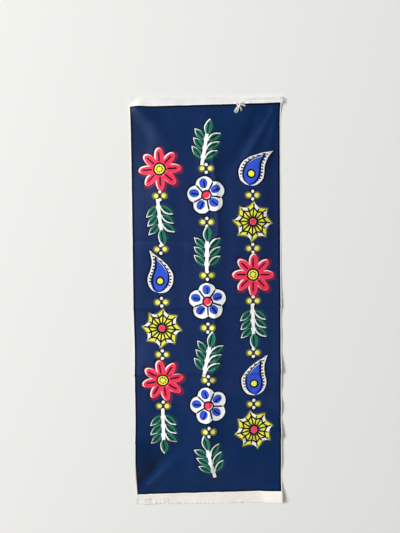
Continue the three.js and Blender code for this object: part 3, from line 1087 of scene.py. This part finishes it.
def printed_colour(tree, across, down):
    """The colour of the printed cloth: bare cotton, the dyed field, and the motifs on it."""
    stray_across = (noise_field(across, down, WAVER_SIZE) - 0.5) * (2 * WAVER)
    stray_down = (noise_field(across + ELSEWHERE, down, WAVER_SIZE) - 0.5) * (2 * WAVER)
    inside = dyed_field(across, down + stray_down * FIELD_WAVER)
    cell = Cell((across + stray_across) * (1 / MOTIF_SCALE), (down + stray_down) * (1 / MOTIF_SCALE))
    plates = Plates()
    for press_motif in MOTIFS:
        press_motif(plates, cell)
    white = plates.masks["white"]
    pooled = largest(plates.masks["pool"] * POOL_DEPTH, 1.0 - ramp(inside, *FIELD_POOL))
    navy = layer_over(tree, dyed_navy(tree, across, down), POOLED_NAVY, pooled)
    colour = layer_over(tree, COTTON, COTTON_END, ramp(down, FIELD_TOP, FIELD_END))
    colour = layer_over(tree, colour, PRINT_WHITE, ramp(inside, -RESIST[1], -RESIST[0]))
    colour = layer_over(tree, colour, navy, ramp(inside, -INK_EDGE, INK_EDGE))
    for ink, ink_colour in INKS.items():
        colour = layer_over(tree, colour, ink_colour, plates.masks[ink + " rim"] * OVERPRINT)
    colour = layer_over(tree, colour, PRINT_WHITE, white)
    for ink, ink_colour in INKS.items():
        colour = layer_over(tree, colour, ink_colour, smallest(plates.masks[ink], white))
    return layer_over(tree, colour, DRAWN_LINE, plates.masks["dark"])


# Cotton

YARN_PITCH = 0.5
SLUB = Sizes(lengthwise=1.1, crosswise=1.3, stretch=0.03, detail=1.0, shade=0.16)
MOTTLE = Sizes(size=26.0, detail=4.0, depth=0.22)
BACK_SHOWS = 0.68  # how much of the print shows on the back
SOAK = Sizes(size=6.0, depth=0.3)  # and how unevenly
RELIEF = Sizes(weave=0.6, slub=0.5, depth=0.12, strength=0.35)
YARN_GREY = srgb(204, 201, 193)
YARN_WHITE = srgb(244, 242, 236)
# The stretch draws a blotch out along the hanging yarns.
BLOTCH = Sizes(scale=140.0, detail=3.0, over=(0.32, 0.58), stretch=(1.0, 1.0, 0.15))
TWIST = Sizes(scale=900.0, depth=0.06, strength=0.4)


def weave_height(across, down):
    """Over and under of a plain weave, from 0 to 1."""
    warp = (across * (math.pi / YARN_PITCH)).math("SINE")
    weft = (down * (math.pi / YARN_PITCH)).math("SINE")
    return warp * weft * 0.5 + 0.5


def slub(across, down):
    """Uneven yarns, as faint streaks both ways along the weave, around 0."""
    lengthwise = noise_field(across, down * SLUB.stretch, SLUB.lengthwise, SLUB.detail)
    crosswise = noise_field(across * SLUB.stretch, down, SLUB.crosswise, SLUB.detail)
    return lengthwise + crosswise - 1.0


def printed_cotton(name, show_through):
    """Cotton with the print: all of it on the front, and on the back what has soaked through."""
    material, tree, shader = new_material(name, roughness=0.5, sheen=0.02, specular=0.13)
    across, down = flat_place(tree)
    colour = printed_colour(tree, across, down)
    if show_through < 1.0:
        least = show_through - SOAK.depth / 2
        soaked = noise_field(across, down, SOAK.size) * SOAK.depth + least
        colour = layer_over(tree, COTTON, colour, soaked)
    streaks = slub(across, down)
    mottle = (noise_field(across, down, MOTTLE.size, MOTTLE.detail) - 0.5) * MOTTLE.depth
    colour = scaled(tree, colour, 1.0 + streaks * SLUB.shade + mottle)
    feed(tree, colour, shader.inputs["Base Color"])
    height = weave_height(across, down) * RELIEF.weave + streaks * RELIEF.slub
    add_bump(tree, shader, height, RELIEF.depth, RELIEF.strength)
    return material


def raw_cotton(name):
    """Undyed yarn: off-white, with a little grey and cream in it and a twist along it."""
    material, tree, shader = new_material(name, roughness=0.85, sheen=0.1, specular=0.2)
    place = new_node(tree, "TexCoord").outputs["Object"]
    along = new_node(tree, "VectorMath")
    along.operation = "MULTIPLY"
    feed(tree, place, along.inputs[0])
    feed(tree, BLOTCH.stretch, along.inputs[1])
    blotch = new_node(tree, "TexNoise", Scale=BLOTCH.scale, Detail=BLOTCH.detail)
    feed(tree, along.outputs["Vector"], blotch.inputs["Vector"])
    mask = ramp(Field(tree, blotch.outputs[0]), *BLOTCH.over)
    feed(tree, layer_over(tree, YARN_GREY, YARN_WHITE, mask), shader.inputs["Base Color"])
    twist = new_node(tree, "TexWave", Vector=place, Scale=TWIST.scale)
    twist.bands_direction = "DIAGONAL"
    add_bump(tree, shader, Field(tree, twist.outputs[0]), TWIST.depth, TWIST.strength)
    return material


# Stage, lights and camera

WALL_BEHIND = 1.6  # millimetres from the cloth's top edge to the backdrop; the rest is in metres
FLOOR_LEVEL = -1.6
STAGE_REACH = 3.0
STAGE_TOP = 1.6
FLOOR_COLOUR = srgb(226, 225, 221)
BACKDROP_COLOUR = srgb(239, 238, 233)
LIGHT_AIM = Vector((0.0, 0.0, -0.48))
LIGHTS = table(
    "name at size watts",
    ("key", (-8.3, -5.45, 2.6), 3.9, 1410.0),
    ("rear", (-0.8, 2.2, 0.7), 2.0, 45.0),
)
ROOM_LIGHT = Sizes(above=0.48, level=0.283)  # the room is as much darker below as it is lighter above
ROOM_TINT = (0.95, 0.97, 1.0, 1.0)
CAMERA_AT = (-0.0368, -0.9807, -0.3698)
CAMERA_TURN = (87.716, 0.66, -1.166)  # degrees
LENS = 27.017


def plane(name, corners, material):
    piece = new_object(name, corners, [(0, 1, 2, 3)], [material])
    return piece


def stage_material(name, colour, one_sided):
    """A plain matt finish. A one-sided surface is clear from behind, so that it hides nothing there."""
    material, tree, shader = new_material(name, roughness=0.95, sheen=0.0, specular=0.1)
    shader.inputs["Base Color"].default_value = colour
    if one_sided:
        mix = new_node(tree, "MixShader", Fac=new_node(tree, "NewGeometry").outputs["Backfacing"])
        feed(tree, shader.outputs["BSDF"], mix.inputs[1])
        feed(tree, new_node(tree, "BsdfTransparent").outputs["BSDF"], mix.inputs[2])
        feed(tree, mix.outputs["Shader"], tree.nodes["Material Output"].inputs["Surface"])
    return material


def make_stage():
    reach = STAGE_REACH
    corners = [(-reach, -reach, FLOOR_LEVEL), (reach, -reach, FLOOR_LEVEL)]
    corners += [(reach, reach, FLOOR_LEVEL), (-reach, reach, FLOOR_LEVEL)]
    floor = plane("floor", corners, stage_material("pale_floor", FLOOR_COLOUR, one_sided=False))
    floor.visible_diffuse = False
    behind = WALL_BEHIND * MM
    corners = [(-reach, behind, FLOOR_LEVEL), (reach, behind, FLOOR_LEVEL)]
    corners += [(reach, behind, STAGE_TOP), (-reach, behind, STAGE_TOP)]
    finish = stage_material("pale_backdrop", BACKDROP_COLOUR, one_sided=True)
    backdrop = plane("backdrop", corners, finish)
    backdrop.visible_shadow = False
    backdrop.visible_diffuse = False
    backdrop.visible_glossy = False


def make_lights():
    for row in LIGHTS:
        data = bpy.data.lights.new(row.name, "AREA")
        data.energy = row.watts
        data.size = row.size
        lamp = bpy.data.objects.new(row.name, data)
        lamp.location = row.at
        lamp.rotation_euler = (LIGHT_AIM - Vector(row.at)).to_track_quat("-Z", "Y").to_euler()
        lamp.visible_camera = False
        bpy.context.scene.collection.objects.link(lamp)
    world = bpy.data.worlds.new("soft_room")
    world.use_nodes = True
    tree = world.node_tree
    background = tree.nodes["Background"]
    background.inputs["Color"].default_value = ROOM_TINT
    place = new_node(tree, "TexCoord").outputs["Generated"]
    height = new_node(tree, "SeparateXYZ", Vector=place).outputs["Z"]
    fading = Field(tree, height) * (ROOM_LIGHT.above - ROOM_LIGHT.level)
    feed(tree, fading + ROOM_LIGHT.level, background.inputs["Strength"])
    bpy.context.scene.world = world
    bpy.context.scene.view_settings.view_transform = "Standard"


def make_camera():
    data = bpy.data.cameras.new("camera")
    data.lens = LENS
    camera = bpy.data.objects.new("camera", data)
    camera.location = CAMERA_AT
    camera.rotation_euler = [math.radians(angle) for angle in CAMERA_TURN]
    bpy.context.scene.collection.objects.link(camera)
    bpy.context.scene.camera = camera


# Putting it together

def dress():
    random = np.random.default_rng(SEED)
    yarn = raw_cotton("undyed_yarn")
    front = printed_cotton("print_front", show_through=1.0)
    back = printed_cotton("print_back", show_through=BACK_SHOWS)
    cloth = make_sheet([front, back, yarn])
    wefts = [weft_fray(row, random) for row in LOOSE_WEFTS]
    fray = make_yarns("lower_fray", [warp_fray(random), *wefts], yarn, FRAY_DEPTH)
    corner = bowed_yarns(CORNER_YARNS, CORNER_CLUMP, random)
    top = make_yarns("top_yarns", [top_stubs(random), corner], yarn)
    threads = bowed_yarns(TUFT_YARNS, TUFT_CLUMP, random)
    tuft = make_yarns("yarn_tuft", [tuft_knot(random), threads], yarn)
    fray.visible_shadow = False  # single loose yarns let most of the light through
    for piece in (cloth, fray, top, tuft):
        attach(piece, "root")
    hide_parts("panel")
    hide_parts("bottom_fray")
    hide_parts("thread_tuft")


make_camera()
make_stage()
make_lights()
dress()
